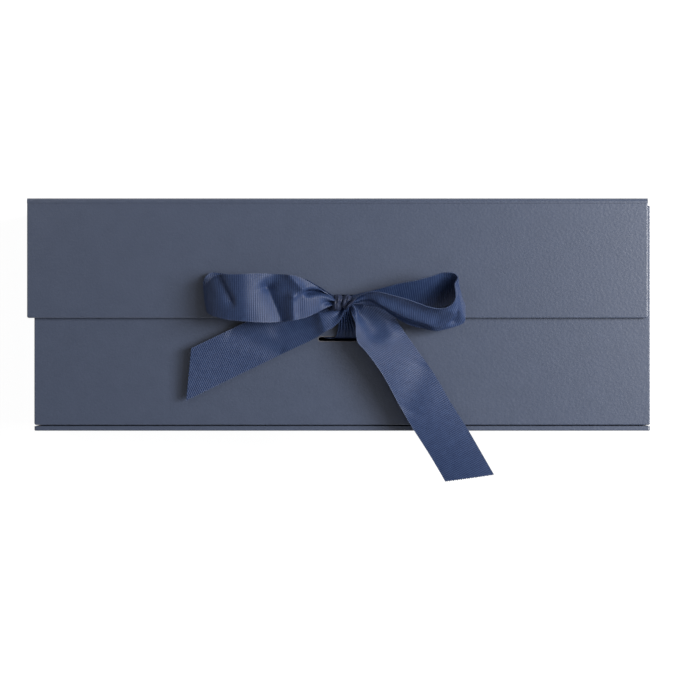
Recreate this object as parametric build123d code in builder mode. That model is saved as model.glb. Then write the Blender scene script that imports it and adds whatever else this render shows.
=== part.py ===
from build123d import *
from dataclasses import dataclass
from itertools import accumulate
import os

# A collapsible gift box that lies on its back with its front wall up. Lengths are in millimetres.
# X runs along the box, Y from its base to its lid, and Z out of its front wall.
# The origin is the centre of the back panel's outer face.

os.makedirs("parts", exist_ok=True)

# Driving dimensions of the box
tray_width = 335.5
box_height = 126.5
box_depth = 100.0
lid_width = 337.2
lid_shift = -2.6
flap_length = 65.1

# Board, papers and how they are made up
board_thickness = 2.0
paper_thickness = 0.25
turn_in_width = 15.0
lining_inset = 3.0
corner_radius = 1.0
edge_radius = 0.6
fold_radius = 1.5
hinge_tape_width = 12.0
hinge_tape_thickness = 0.15
tape_end_inset = 4.0

# Clearances between panels
panel_clearance = 0.4
lid_clearance = 1.1
flap_clearance = 0.9
corner_gap = 0.5
crease_gap = 1.0

# Locking tab inside the foot of the front wall
tab_width = 220.0
tab_length = 40.0
tab_thickness = 1.2
tab_corner_radius = 10.0
tab_root_gap = 1.0
adhesive_width = 200.0
adhesive_length = 20.0
adhesive_thickness = 0.15
adhesive_offset = 22.0

# Magnets in the flap and the steel discs they meet
magnet_diameter = 12.0
magnet_thickness = 1.0
magnet_spacing = 210.0
magnet_edge_distance = 11.85
disc_thickness = 0.5
recess_clearance = 0.1

# Ribbon and its slots
ribbon_width = 25.0
ribbon_thickness = 0.5
ribbon_facets = 3
slot_play = 1.0
slot_width = 2.5
slot_distance = 11.4
lip_clearance = 0.4
glued_length = 25.0
glued_thickness = 0.3

# Knot of the bow, over the flap's free edge
knot_x = 0.4
knot_rise = 7.55
knot_half_width = 6.6
knot_half_height = 5.2
knot_base = 3.4
knot_depth = 11.0
knot_corner_round = 4.8
knot_end_chamfer = 1.6
knot_fold_radius = 2.2
knot_fold_angle = 38.0

# Strand that rises from the front wall's slot to the knot
strand_left = -3.6
strand_right = 6.0
strand_split_drop = 2.4
strand_split_gap = 0.5
strand_tuck = 2.6
strand_head_lift = 1.2

# Worked out from the sizes above
panel_thickness = board_thickness + 3 * paper_thickness
board_face = paper_thickness + board_thickness
turn_in_face = board_face + paper_thickness
fold_zone = panel_thickness
half_width = tray_width / 2
half_height = box_height / 2
inner_bottom = -half_height + panel_thickness
inner_top = half_height - panel_thickness
wall_bottom = inner_bottom + panel_clearance
wall_top = inner_top - lid_clearance
flap_outer = box_depth + flap_clearance + panel_thickness
flap_edge = half_height - flap_length
knot_y = flap_edge + knot_rise
magnet_height = flap_edge + magnet_edge_distance
front_inner = box_depth - panel_thickness
rear_hinge_z = panel_thickness + panel_clearance
front_hinge_z = front_inner - panel_clearance
crease_z = (rear_hinge_z + front_hinge_z) / 2
side_inner = half_width - panel_thickness
front_slot_y = flap_edge - slot_distance
flap_slot_y = flap_edge + slot_distance
slot_length = ribbon_width + slot_play
tab_top = wall_bottom + tab_thickness
ribbon_reach = box_height


def save(piece, name):
    """Labels a finished piece and writes it to its own file."""
    piece.part.label = name
    export_step(piece.part, f"parts/{name}.step")


@dataclass
class Panel:
    """A board wrapped in paper: its outer face, with z pointing into the board, and its four sides.

    The cover paper is turned in round the sides named in turned_in. At the other sides it runs on
    over a fold to the next panel, and there the lining covers the board's edge.
    """

    name: str
    face: Plane
    left: float
    right: float
    bottom: float
    top: float
    turned_in: tuple
    slot_y: float | None = None

    def sides(self, draw_in, everywhere=False):
        """The four sides, drawn in where the cover is turned in, or everywhere."""
        step = {side: draw_in if everywhere or side in self.turned_in else 0.0
                for side in ("left", "right", "bottom", "top")}
        return (self.left + step["left"], self.right - step["right"],
                self.bottom + step["bottom"], self.top - step["top"])

    def is_turned_in(self, x, y, sides_needed):
        """Whether a point lies on at least that many of the turned-in sides."""
        reach = corner_radius / 2
        near = {"left": x - self.left < reach, "right": self.right - x < reach,
                "bottom": y - self.bottom < reach, "top": self.top - y < reach}
        return sum(near[side] for side in self.turned_in) >= sides_needed


def layer(panel, draw_in, low, high, everywhere=False, radius=0.0, mode=Mode.ADD):
    """Adds or cuts the panel's rectangle, drawn in from its sides, between two depths."""
    left, right, bottom, top = panel.sides(draw_in, everywhere)
    with BuildSketch(panel.face.offset(low)) as outline:
        with Locations(((left + right) / 2, (bottom + top) / 2)):
            Rectangle(right - left, top - bottom)
        corners = [corner for corner in outline.vertices()
                   if panel.is_turned_in(corner.X, corner.Y, 2)]
        if radius > 0 and corners:
            fillet(corners, radius)
    extrude(outline.sketch, amount=high - low, mode=mode)


def cut_slot(panel):
    """Punches the ribbon's slot right through, where the panel has one."""
    if panel.slot_y is None:
        return
    with BuildSketch(panel.face) as mouth:
        with Locations((0, panel.slot_y)):
            SlotOverall(slot_length, slot_width)
    extrude(mouth.sketch, amount=panel_thickness, mode=Mode.SUBTRACT)


def outer_edges(panel, cover):
    """The edges round the outer face that lie along turned-in sides."""
    outer = cover.faces().sort_by(Axis(panel.face.origin, panel.face.z_dir))[0]
    chosen = []
    for edge in outer.edges():
        middle = panel.face.to_local_coords(edge @ 0.5)
        if panel.is_turned_in(middle.X, middle.Y, 1):
            chosen.append(edge)
    return chosen


def magnet_places():
    """The two places of the magnets, seen on the front and on the flap."""
    return Locations((-magnet_spacing / 2, magnet_height), (magnet_spacing / 2, magnet_height))


def cover_of(panel):
    """The cover paper: outer face, the edges it is turned round and the turn-ins inside."""
    with BuildPart() as cover:
        layer(panel, 0, 0, turn_in_face, radius=corner_radius)
        fillet(outer_edges(panel, cover), edge_radius)
        layer(panel, paper_thickness, paper_thickness, board_face,
              radius=corner_radius - paper_thickness, mode=Mode.SUBTRACT)
        layer(panel, turn_in_width, board_face, turn_in_face, mode=Mode.SUBTRACT)
        cut_slot(panel)
    return cover


def board_of(panel):
    """The greyboard core."""
    with BuildPart() as board:
        layer(panel, paper_thickness, paper_thickness, board_face, everywhere=True,
              radius=corner_radius - paper_thickness)
        cut_slot(panel)
    return board


def lining_of(panel):
    """The lining: on the turn-ins at its rim, dipping to the board inside them, and over the
    board's edge at each side that ends in a fold."""
    with BuildPart() as lining:
        layer(panel, paper_thickness, paper_thickness, board_face)
        layer(panel, paper_thickness, paper_thickness, board_face, everywhere=True,
              mode=Mode.SUBTRACT)
        layer(panel, lining_inset, turn_in_face, panel_thickness)
        layer(panel, turn_in_width, board_face, panel_thickness)
        layer(panel, turn_in_width + paper_thickness, turn_in_face, panel_thickness,
              mode=Mode.SUBTRACT)
        cut_slot(panel)
    return lining


all_round = ("left", "right", "bottom", "top")
back = Panel("back", Plane.XY, -half_width, half_width, inner_bottom, inner_top,
             ("left", "right"))
base = Panel("base", Plane((0, -half_height, 0), x_dir=(-1, 0, 0), z_dir=(0, 1, 0)),
             -half_width, half_width, fold_zone, box_depth, ("left", "right", "top"))
lid = Panel("lid", Plane((lid_shift, half_height, 0), x_dir=(1, 0, 0), z_dir=(0, -1, 0)),
            -lid_width / 2, lid_width / 2, fold_zone, flap_outer - fold_zone,
            ("left", "right"))
flap = Panel("flap", Plane((0, 0, flap_outer), x_dir=(-1, 0, 0), z_dir=(0, 0, -1)),
             -lid_shift - lid_width / 2, -lid_shift + lid_width / 2, flap_edge, inner_top,
             ("left", "right", "bottom"), flap_slot_y)
front = Panel("front", Plane((0, 0, box_depth), x_dir=(-1, 0, 0), z_dir=(0, 0, -1)),
              -half_width, half_width, wall_bottom, wall_top, all_round, front_slot_y)
side_face = Plane((-half_width, 0, 0), x_dir=(0, 1, 0), z_dir=(1, 0, 0))
left_rear = Panel("left_rear", side_face, wall_bottom, wall_top,
                  rear_hinge_z + corner_gap, crease_z - crease_gap,
                  ("left", "right", "bottom"))
left_front = Panel("left_front", side_face, wall_bottom, wall_top,
                   crease_z + crease_gap, front_hinge_z - corner_gap,
                   ("left", "right", "top"))

# The panels whose boards have nothing let into them
for panel in (back, base, lid):
    save(cover_of(panel), f"{panel.name}_cover")
    save(board_of(panel), f"{panel.name}_board")
    save(lining_of(panel), f"{panel.name}_lining")

# The side walls, each of two halves, the right ones as mirror images of the left ones
for panel in (left_rear, left_front):
    for layer_name, make in (("cover", cover_of), ("board", board_of), ("lining", lining_of)):
        left_piece = make(panel)
        save(left_piece, f"{panel.name}_{layer_name}")
        with BuildPart() as right_piece:
            mirror(left_piece.part, about=Plane.YZ)
        save(right_piece, f"{panel.name.replace('left', 'right')}_{layer_name}")

# The front wall and the flap, whose boards hold the discs and the magnets
for panel in (front, flap):
    save(cover_of(panel), f"{panel.name}_cover")
    save(lining_of(panel), f"{panel.name}_lining")

disc_plane = front.face.offset(paper_thickness)
with BuildPart() as front_board:
    add(board_of(front).part)
    with BuildSketch(disc_plane):
        with magnet_places():
            Circle(magnet_diameter / 2 + recess_clearance)
    extrude(amount=disc_thickness, mode=Mode.SUBTRACT)
save(front_board, "front_board")

with BuildPart() as front_steel_discs:
    with BuildSketch(disc_plane):
        with magnet_places():
            Circle(magnet_diameter / 2)
    extrude(amount=disc_thickness)
save(front_steel_discs, "front_steel_discs")

magnet_plane = flap.face.offset(board_face - magnet_thickness)
with BuildPart() as flap_board:
    add(board_of(flap).part)
    with BuildSketch(magnet_plane):
        with magnet_places():
            Circle(magnet_diameter / 2 + recess_clearance)
    extrude(amount=magnet_thickness, mode=Mode.SUBTRACT)
save(flap_board, "flap_board")

with BuildPart() as flap_magnets:
    with BuildSketch(magnet_plane):
        with magnet_places():
            Circle(magnet_diameter / 2)
    extrude(amount=magnet_thickness)
save(flap_magnets, "flap_magnets")


def fold_paper(corner, width):
    """Cover and lining paper glued together round an outer corner of the box.

    The corner's plane has its origin on the corner and its x and y along the two panels.
    """
    doubled = 2 * paper_thickness
    with BuildPart() as paper:
        with BuildSketch(corner):
            with BuildLine():
                Polyline((fold_zone, 0), (0, 0), (0, fold_zone), (doubled, fold_zone),
                         (doubled, doubled), (fold_zone, doubled), close=True)
            section = make_face()
            outside, inside = (section.vertices().sort_by_distance(point)[0]
                               for point in ((0, 0), (doubled, doubled)))
            fillet(outside, fold_radius)
            fillet(inside, fold_radius - doubled)
        extrude(amount=width / 2, both=True)
    return paper


def corner_tape(corner, width):
    """A strip of hinge tape inside a corner, one leg on each of the two panels."""
    with BuildPart() as tape:
        with BuildSketch(corner):
            with BuildLine():
                Polyline((0, 0), (hinge_tape_width, 0), (hinge_tape_width, hinge_tape_thickness),
                         (hinge_tape_thickness, hinge_tape_thickness),
                         (hinge_tape_thickness, hinge_tape_width), (0, hinge_tape_width),
                         close=True)
            make_face()
        extrude(amount=width / 2, both=True)
    return tape


# The three folds of the case
lid_corner = Plane((0, half_height, 0), x_dir=(0, -1, 0), z_dir=(-1, 0, 0))
base_corner = Plane((0, -half_height, 0), x_dir=(0, 1, 0), z_dir=(1, 0, 0))
flap_corner = Plane((lid_shift, half_height, flap_outer), x_dir=(0, -1, 0), z_dir=(1, 0, 0))
save(fold_paper(lid_corner, tray_width), "lid_fold_paper")
save(fold_paper(base_corner, tray_width), "base_fold_paper")
save(fold_paper(flap_corner, lid_width), "flap_fold_paper")

# The hinge tapes up the four corners of the walls and the papers over the two centre creases
wall_middle = (wall_bottom + wall_top) / 2
tape_height = wall_top - wall_bottom - 2 * tape_end_inset
rear_corner = Plane((-side_inner, wall_middle, panel_thickness),
                    x_dir=(1, 0, 0), z_dir=(0, -1, 0))
front_corner = Plane((-side_inner, wall_middle, front_inner),
                     x_dir=(1, 0, 0), z_dir=(0, 1, 0))
left_rear_tape = corner_tape(rear_corner, tape_height)
left_front_tape = corner_tape(front_corner, tape_height)
with BuildPart() as left_crease_paper:
    with BuildSketch(side_face):
        with Locations((wall_middle, crease_z)):
            Rectangle(wall_top - wall_bottom, 2 * crease_gap)
    extrude(amount=2 * paper_thickness)

for name, left_piece in (("rear_hinge_tape", left_rear_tape),
                         ("front_hinge_tape", left_front_tape),
                         ("crease_paper", left_crease_paper)):
    save(left_piece, f"left_{name}")
    with BuildPart() as right_piece:
        mirror(left_piece.part, about=Plane.YZ)
    save(right_piece, f"right_{name}")

# The locking tab, which lies on the base, and its strip of adhesive tape
tab_root_z = front_inner - tab_root_gap
tab_plane = Plane((0, wall_bottom, 0), x_dir=(-1, 0, 0), z_dir=(0, 1, 0))
with BuildPart() as tab_card:
    with BuildSketch(tab_plane) as tab_outline:
        with Locations((0, tab_root_z - tab_length / 2)):
            Rectangle(tab_width, tab_length)
        fillet(tab_outline.vertices().group_by(Axis.Y)[0], tab_corner_radius)
    extrude(amount=tab_thickness)
save(tab_card, "tab_card")

with BuildPart() as tab_adhesive:
    with BuildSketch(tab_plane):
        with Locations((0, tab_root_z - adhesive_offset)):
            Rectangle(adhesive_width, adhesive_length)
    extrude(amount=-adhesive_thickness)
save(tab_adhesive, "tab_adhesive_tape")

tab_corner = Plane((0, tab_top, front_inner), x_dir=(0, 1, 0), z_dir=(-1, 0, 0))
save(corner_tape(tab_corner, tab_width - 2 * tape_end_inset), "tab_hinge_tape")

# The knot: ribbon wrapped round the gathered strands, with a fold across its front
with BuildPart() as bow_knot:
    with BuildSketch(Plane.YZ.offset(knot_x - knot_half_width)):
        with Locations((knot_y, flap_outer + knot_base + knot_depth / 2)):
            RectangleRounded(2 * knot_half_height, knot_depth, knot_corner_round)
    extrude(amount=2 * knot_half_width)
    chamfer(bow_knot.edges().filter_by(Axis.X, reverse=True), knot_end_chamfer)
    with Locations((knot_x, knot_y, flap_outer + knot_base + knot_depth + knot_fold_radius / 2)):
        Cylinder(knot_fold_radius, 4 * knot_half_width, rotation=(90, 0, knot_fold_angle),
                 mode=Mode.SUBTRACT)
save(bow_knot, "bow_knot")

# The ribbons of the bow, each as its two edges at stations along it. Places are in ribbon
# widths, x and y from the knot's middle and z from the flap's outer face. A loop starts in
# the knot with its front layer, turns at its nose and comes back behind it. A tail's last
# station is its slanted cut.
left_loop_edges = [
    ((-0.10, 0.11, 0.36), (-0.14, 0.02, 0.36)),
    ((-0.49, 0.32, 0.57), (-0.51, -0.16, 0.59)),
    ((-1.02, 0.59, 0.73), (-1.06, -0.36, 0.78)),
    ((-1.54, 0.62, 0.70), (-1.56, -0.40, 0.68)),
    ((-2.10, 0.62, 0.81), (-2.10, -0.38, 0.81)),
    ((-2.62, 0.62, 0.64), (-2.63, -0.31, 0.66)),
    ((-2.88, 0.39, 0.45), (-2.89, -0.22, 0.41)),
    ((-2.98, 0.43, 0.34), (-2.94, -0.17, 0.29)),
    ((-2.98, 0.56, 0.23), (-2.92, -0.18, 0.19)),
    ((-2.86, 0.63, 0.16), (-2.78, -0.22, 0.13)),
    ((-1.81, 0.62, 0.10), (-1.81, -0.36, 0.13)),
    ((-0.81, 0.54, 0.14), (-0.82, -0.25, 0.22)),
    ((-0.26, 0.22, 0.27), (-0.26, 0.00, 0.29)),
    ((-0.10, 0.14, 0.30), (-0.10, 0.04, 0.30)),
]
right_loop_edges = [
    ((0.12, 0.09, 0.40), (0.12, 0.03, 0.38)),
    ((0.36, 0.20, 0.58), (0.36, 0.06, 0.40)),
    ((0.75, 0.23, 0.80), (0.74, -0.02, 0.31)),
    ((1.36, 0.04, 0.94), (1.46, -0.45, 0.14)),
    ((1.86, -0.11, 0.98), (2.02, -0.57, 0.13)),
    ((2.23, -0.05, 0.97), (2.38, -0.48, 0.16)),
    ((2.37, 0.25, 0.94), (2.61, -0.38, 0.26)),
    ((2.43, 0.49, 0.89), (2.63, -0.02, 0.18)),
    ((2.52, 0.57, 0.84), (2.59, 0.07, 0.14)),
    ((2.45, 0.65, 0.76), (2.46, 0.07, 0.11)),
    ((1.86, 0.58, 0.68), (1.82, -0.16, 0.07)),
    ((1.24, 0.44, 0.60), (1.14, -0.17, 0.14)),
    ((0.42, 0.22, 0.40), (0.38, 0.02, 0.27)),
    ((0.12, 0.12, 0.32), (0.12, 0.04, 0.29)),
]
left_tail_edges = [
    ((-0.08, 0.04, 0.22), (0.04, -0.05, 0.27)),
    ((-0.34, -0.06, 0.17), (-0.10, -0.34, 0.29)),
    ((-0.74, -0.05, 0.10), (-0.35, -0.59, 0.22)),
    ((-1.54, -0.13, 0.06), (-1.12, -0.99, 0.06)),
    ((-2.16, -0.42, 0.06), (-1.74, -1.29, 0.02)),
    ((-3.29, -0.96, 0.10), (-3.40, -2.09, 0.05)),
]
right_tail_edges = [
    ((0.17, -0.04, 0.32), (0.16, 0.07, 0.23)),
    ((0.27, -0.41, 0.34), (0.48, 0.07, 0.15)),
    ((0.32, -0.82, 0.29), (1.03, -0.17, 0.10)),
    ((0.49, -1.03, 0.26), (1.26, -0.50, 0.10)),
    ((1.17, -2.11, 0.36), (1.98, -1.54, 0.20)),
    ((2.20, -3.82, 0.57), (3.24, -3.67, 0.49)),
]


def bow_ribbon(edge_places):
    """A ribbon between smooth lines through the places of its two edges, cut by the knot.

    It is made of flat facets, a few between two stations, as a strip of stiff ribbon bends.
    """
    knot_middle = Vector(knot_x, knot_y, flap_outer)
    firsts, seconds = ([knot_middle + Vector(*place) * ribbon_width for place in edge]
                       for edge in zip(*edge_places))
    middles = [(first + second) / 2 for first, second in zip(firsts, seconds)]
    lengths = list(accumulate(((end - start).length for start, end in zip(middles, middles[1:])),
                              initial=0.0))
    progress = [length / lengths[-1] for length in lengths]
    lines = [Edge.make_spline(edge, parameters=progress) for edge in (firsts, seconds)]
    shares = [start + (end - start) * step / ribbon_facets
              for start, end in zip(progress, progress[1:]) for step in range(ribbon_facets)]
    rings = []
    for share in shares + [1.0]:
        first, second = (line.position_at(share, position_mode=PositionMode.PARAMETER)
                         for line in lines)
        along = sum((line.tangent_at(share, position_mode=PositionMode.PARAMETER)
                     for line in lines), Vector())
        lift = along.cross(second - first).normalized() * (ribbon_thickness / 2)
        rings.append((first + lift, second + lift, second - lift, first - lift))
    facets = [Face(Wire.make_polygon(ring)) for ring in (rings[0], rings[-1])]
    for ring, following in zip(rings, rings[1:]):
        for corner in range(4):
            beside = (corner + 1) % 4
            quad = (ring[corner], ring[beside], following[beside], following[corner])
            # Both broad sides fold along the same diagonal, so the ribbon keeps its thickness
            turned = quad[corner // 2:] + quad[:corner // 2]
            facets.append(Face(Wire.make_polygon(turned[:3])))
            facets.append(Face(Wire.make_polygon((turned[0], *turned[2:]))))
    with BuildPart() as ribbon:
        add(Solid(Shell(facets)))
        add(bow_knot.part, mode=Mode.SUBTRACT)
    return ribbon


save(bow_ribbon(left_loop_edges), "bow_loop_left")
save(bow_ribbon(right_loop_edges), "bow_loop_right")
save(bow_ribbon(left_tail_edges), "bow_tail_left")
save(bow_ribbon(right_tail_edges), "bow_tail_right")

# The strand that comes through the flap's slot and gathers into the knot. Its end is glued to
# the flap's lining.
flap_lining_z = flap_outer - panel_thickness
flap_strand_top = flap_outer + knot_base + knot_depth / 4
with BuildPart() as flap_ribbon:
    with BuildSketch(Plane.YZ.offset(-ribbon_width / 2)):
        with Locations((flap_slot_y, (flap_lining_z - glued_thickness + flap_strand_top) / 2)):
            Rectangle(ribbon_thickness, flap_strand_top - flap_lining_z + glued_thickness)
    extrude(amount=ribbon_width)
    with BuildSketch(Plane.XZ.offset(-half_height)):
        with BuildLine():
            gathered = 0.75 * knot_half_width
            Polyline((-ribbon_width / 2, flap_lining_z - glued_thickness),
                     (ribbon_width / 2, flap_lining_z - glued_thickness),
                     (ribbon_width / 2, flap_outer), (knot_x + gathered, flap_strand_top),
                     (knot_x - gathered, flap_strand_top), (-ribbon_width / 2, flap_outer),
                     close=True)
        make_face()
    extrude(amount=ribbon_reach, mode=Mode.INTERSECT)
    with BuildSketch(Plane.XY.offset(flap_lining_z - glued_thickness)):
        with Locations((0, flap_slot_y + glued_length / 2)):
            Rectangle(ribbon_width, glued_length)
    extrude(amount=glued_thickness)
    add(bow_knot.part, mode=Mode.SUBTRACT)
save(flap_ribbon, "flap_ribbon")

# The strand that comes through the front wall's slot, close to the slot's upper lip. Its end is
# glued to the front wall's lining, and it rises in front of the flap's edge to meet the knot's
# own strand.
front_lining_z = box_depth - turn_in_face
strand_foot = Vector(0, front_slot_y + (slot_width - ribbon_thickness) / 2 - lip_clearance,
                     box_depth + ribbon_thickness)
strand_head = Vector(0, knot_y - knot_half_height + strand_tuck,
                     flap_outer + knot_base + strand_head_lift)
strand_split_y = flap_edge - strand_split_drop


def strand_line(y):
    """The height of the strand's middle at a height y on the box."""
    share = (y - strand_foot.Y) / (strand_head.Y - strand_foot.Y)
    return strand_foot.Z + share * (strand_head.Z - strand_foot.Z)


with BuildPart() as front_ribbon:
    with BuildSketch(Plane.YZ.offset(-ribbon_width / 2)):
        with BuildLine():
            Polyline((strand_foot.Y, front_lining_z - glued_thickness),
                     (strand_foot.Y, strand_foot.Z), (strand_split_y, strand_line(strand_split_y)))
        trace(line_width=ribbon_thickness)
    extrude(amount=ribbon_width)
    with BuildSketch(Plane.XY):
        with BuildLine():
            Polyline((-ribbon_width / 2, front_slot_y - slot_width),
                     (-ribbon_width / 2, strand_foot.Y + ribbon_thickness),
                     (strand_left, strand_split_y), (strand_right, strand_split_y),
                     (ribbon_width / 2, strand_foot.Y + ribbon_thickness),
                     (ribbon_width / 2, front_slot_y - slot_width), close=True)
        make_face()
    extrude(amount=2 * box_depth, mode=Mode.INTERSECT)
    with BuildSketch(Plane.XY.offset(front_lining_z - glued_thickness)):
        with Locations((0, strand_foot.Y + (glued_length - ribbon_thickness) / 2)):
            Rectangle(ribbon_width, glued_length)
    extrude(amount=glued_thickness)
save(front_ribbon, "front_ribbon")

with BuildPart() as bow_lower_strand:
    lower_y = strand_split_y + strand_split_gap
    with BuildSketch(Plane.YZ.offset(strand_left)):
        with BuildLine():
            Line((lower_y, strand_line(lower_y)), (strand_head.Y, strand_head.Z))
        trace(line_width=ribbon_thickness)
    extrude(amount=strand_right - strand_left)
    add(bow_knot.part, mode=Mode.SUBTRACT)
save(bow_lower_strand, "bow_lower_strand")
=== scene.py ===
"""A collapsible gift box with a ribbon bow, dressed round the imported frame.

The box lies on its back with its front up, as in the frame: X runs along the box, Y from its base
to its lid and Z out of its front. Lengths in this file are millimetres, and write_mesh() turns
them into metres.
"""

from __future__ import annotations

import logging
import math
from dataclasses import dataclass, field
from enum import Enum

import bpy
import numpy as np
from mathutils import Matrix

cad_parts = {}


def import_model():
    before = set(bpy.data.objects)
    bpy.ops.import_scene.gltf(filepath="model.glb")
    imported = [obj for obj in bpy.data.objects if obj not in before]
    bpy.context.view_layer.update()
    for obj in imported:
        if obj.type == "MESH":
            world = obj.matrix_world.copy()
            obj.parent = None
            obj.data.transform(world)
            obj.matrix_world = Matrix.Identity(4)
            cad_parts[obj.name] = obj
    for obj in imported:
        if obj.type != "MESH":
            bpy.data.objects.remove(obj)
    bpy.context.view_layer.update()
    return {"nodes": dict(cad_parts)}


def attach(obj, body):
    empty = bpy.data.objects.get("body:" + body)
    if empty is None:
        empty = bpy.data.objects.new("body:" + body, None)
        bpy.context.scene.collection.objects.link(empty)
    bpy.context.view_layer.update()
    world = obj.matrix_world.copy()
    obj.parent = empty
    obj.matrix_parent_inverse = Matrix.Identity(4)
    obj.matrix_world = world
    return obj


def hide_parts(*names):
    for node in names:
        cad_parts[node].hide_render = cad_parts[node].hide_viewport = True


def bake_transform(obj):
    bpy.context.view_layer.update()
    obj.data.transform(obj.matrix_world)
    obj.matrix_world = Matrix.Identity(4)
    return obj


log = logging.getLogger("gift_box")

Socket = bpy.types.NodeSocket
Colour = tuple[float, float, float, float]
Point = tuple[float, float, float]
Station = tuple[Point, Point]

MM = 0.001
BLACK = (0.0, 0.0, 0.0, 1.0)
WHITE = (1.0, 1.0, 1.0, 1.0)

# The box, as in the part's source: the front wall's and the flap's outer face, a panel with its
# papers, the middles of the two slots and the ribbon's width
DEPTH = 100.0
FLAP_OUTER = 103.65
PANEL = 2.75
FLAP_SLOT_Y = 9.55
FRONT_SLOT_Y = -13.25
RIBBON_WIDTH = 25.0


def shades(*values: int) -> Colour:
    """Turn 0 to 255 display values into the linear colour that a shader takes.

    Args:
        values: red, green and blue as a display shows them.

    Returns:
        The linear colour with full opacity.
    """
    display = np.array(values) / 255
    linear = np.where(display <= 0.04045, display / 12.92, ((display + 0.055) / 1.055) ** 2.4)
    return (*linear.tolist(), 1.0)


def mixed(first: Colour, second: Colour, share: float) -> Colour:
    """The colour that lies that share of the way from the first to the second."""
    return tuple(a + (b - a) * share for a, b in zip(first, second))


class Nodes:
    """A node tree that is put together socket by socket."""

    def __init__(self, tree: bpy.types.NodeTree) -> None:
        """Keep the tree that gets the nodes."""
        self.tree = tree

    def fill(self, node: bpy.types.Node, inputs: dict[str | int, object]) -> None:
        """Give inputs of a node a value, or a link where the value is a socket.

        Args:
            node: the node.
            inputs: the value of each input that gets one.
        """
        for name, value in inputs.items():
            if isinstance(value, Socket):
                self.tree.links.new(value, node.inputs[name])
            else:
                node.inputs[name].default_value = value

    def add(self, kind: str, inputs: dict[str | int, object] | None = None,
            **settings: object) -> bpy.types.Node:
        """Add a node.

        Args:
            kind: the node's class.
            inputs: a value or a socket for each input that gets one.
            settings: values of the node's own attributes.

        Returns:
            The new node.
        """
        node = self.tree.nodes.new(kind)
        for name, value in settings.items():
            setattr(node, name, value)
        self.fill(node, inputs or {})
        return node

    def calculate(self, operation: str, *values: float | Socket) -> Socket:
        """Add a Math node.

        Args:
            operation: Blender's name of the sum.
            values: its values.

        Returns:
            The socket of the result.
        """
        node = self.add("ShaderNodeMath", dict(enumerate(values)), operation=operation)
        return node.outputs["Value"]

    def rays(self, *kinds: str) -> Socket:
        """Add a value that is 1 for the named kinds of ray, else 0.

        Args:
            kinds: names of the Light Path node's outputs.

        Returns:
            The socket of the value.
        """
        path = self.add("ShaderNodeLightPath")
        found = path.outputs[kinds[0]]
        for kind in kinds[1:]:
            found = self.calculate("MAXIMUM", found, path.outputs[kind])
        return found


class Shader(Nodes):
    """The node tree of one material, which ends in a principled shader."""

    def __init__(self, name: str) -> None:
        """Start a material with an empty tree.

        Args:
            name: the finish's name.
        """
        self.material = bpy.data.materials.new(name)
        self.material.use_nodes = True
        super().__init__(self.material.node_tree)
        self.tree.nodes.clear()
        self.output = self.add("ShaderNodeOutputMaterial")
        self.principled = self.add("ShaderNodeBsdfPrincipled")
        self.fill(self.output, {"Surface": self.principled.outputs["BSDF"]})

    def finish(self, **inputs: object) -> bpy.types.Material:
        """Fill the principled shader's inputs, named with _ for a space, and give the material."""
        self.fill(self.principled, {name.replace("_", " "): inputs[name] for name in inputs})
        return self.material

    def place(self) -> Socket:
        """The place on the piece, in metres."""
        return self.add("ShaderNodeTexCoord").outputs["Object"]

    def noise(self, place: Socket, size: float, detail: float,
              stretch: Point = (1.0, 1.0, 1.0)) -> Socket:
        """Add noise on a place.

        Args:
            place: the place's socket.
            size: how large its spots are, in millimetres.
            detail: how many finer layers it has.
            stretch: how far each axis is squeezed.

        Returns:
            The socket of the noise, 0 to 1.
        """
        mapping = self.add("ShaderNodeMapping", {"Vector": place, "Scale": stretch},
                           vector_type="POINT")
        return self.add("ShaderNodeTexNoise", {"Vector": mapping.outputs["Vector"],
                                               "Scale": 1 / (size * MM),
                                               "Detail": detail}).outputs["Fac"]

    def ramp(self, value: Socket, *stops: tuple[float, Colour]) -> Socket:
        """Add a colour ramp on a value.

        Args:
            value: the value's socket.
            stops: the position and the colour of its two ends.

        Returns:
            The socket of the colour.
        """
        ramp = self.add("ShaderNodeValToRGB", {"Fac": value})
        for stop, (position, colour) in zip(ramp.color_ramp.elements, stops):
            stop.position = position
            stop.color = colour
        return ramp.outputs["Color"]

    def mix(self, share: float | Socket, first: Socket, second: Colour | Socket) -> Socket:
        """Add a mix of two colours.

        Args:
            share: how much of the second shows.
            first: the first colour.
            second: the second colour.

        Returns:
            The socket of the colour.
        """
        return self.add("ShaderNodeMix", {"Factor": share, "A": first, "B": second},
                        data_type="RGBA").outputs["Result"]

    def bump(self, height: Socket, distance: float, strength: float,
             before: Socket | None = None) -> Socket:
        """Add a bump, after an earlier one if there is one.

        Args:
            height: the height's socket.
            distance: how high it is, in millimetres.
            strength: how much of it shows.
            before: the normal of the earlier bump.

        Returns:
            The socket of the normal.
        """
        inputs = {"Height": height, "Distance": distance * MM, "Strength": strength}
        if before is not None:
            inputs["Normal"] = before
        return self.add("ShaderNodeBump", inputs).outputs["Normal"]


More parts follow.
